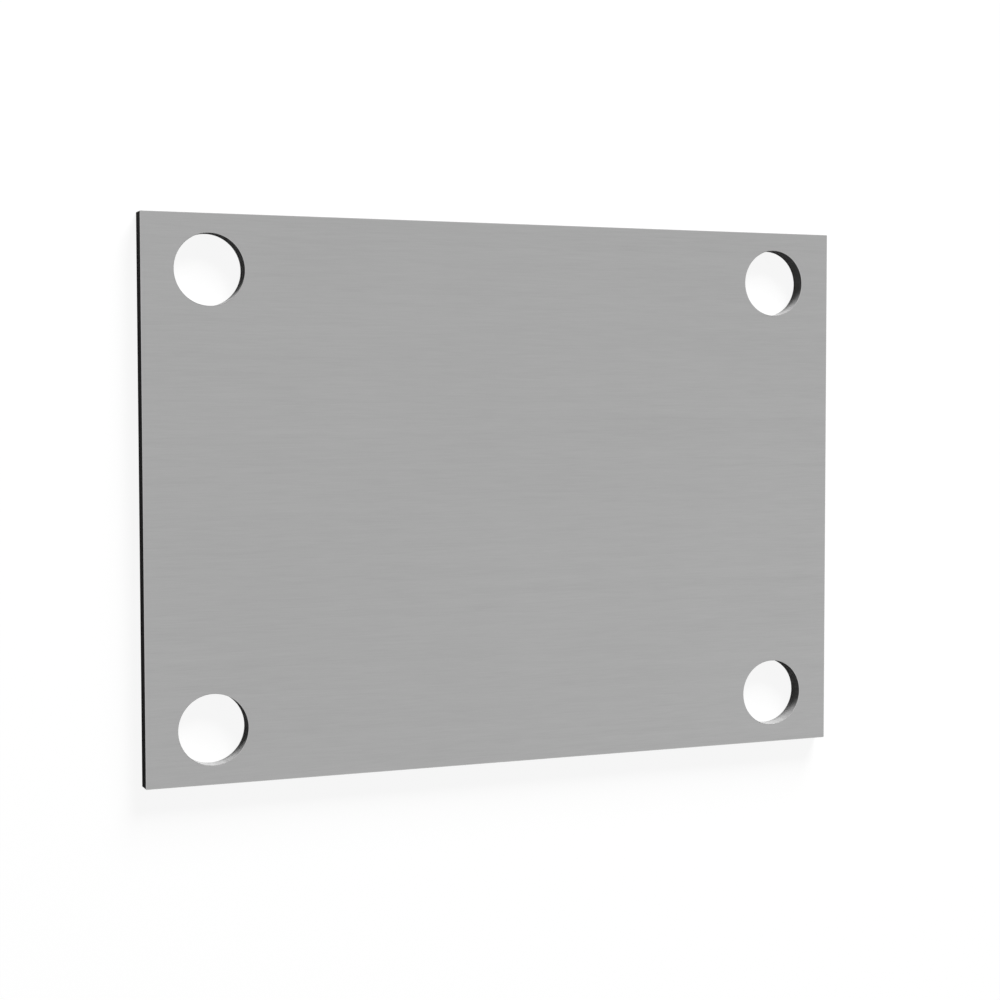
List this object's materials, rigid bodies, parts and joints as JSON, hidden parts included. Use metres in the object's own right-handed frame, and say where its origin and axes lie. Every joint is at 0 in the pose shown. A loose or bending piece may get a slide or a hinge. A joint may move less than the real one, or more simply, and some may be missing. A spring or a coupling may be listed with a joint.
{
  "type": "rectangular cover plate",
  "caption": "Flat rectangular steel cover plate with square corners and a round clearance hole for a bolt near each corner.",
  "frame": {"origin": "centre of the back face, the face that seats against what the plate covers", "axes": "+X along the long edges, +Y along the short edges, +Z out of the front face; the plate lies on its back face"},
  "size_m": [0.13, 0.095, 0.003],
  "materials": {
    "sheet_steel": "plain cold-rolled sheet, satin neutral grey with a fine rolling grain along the long edges, uncoated"
  },
  "bodies": {
    "root": {"cover_plate": "sheet_steel"}
  },
  "joints": []
}
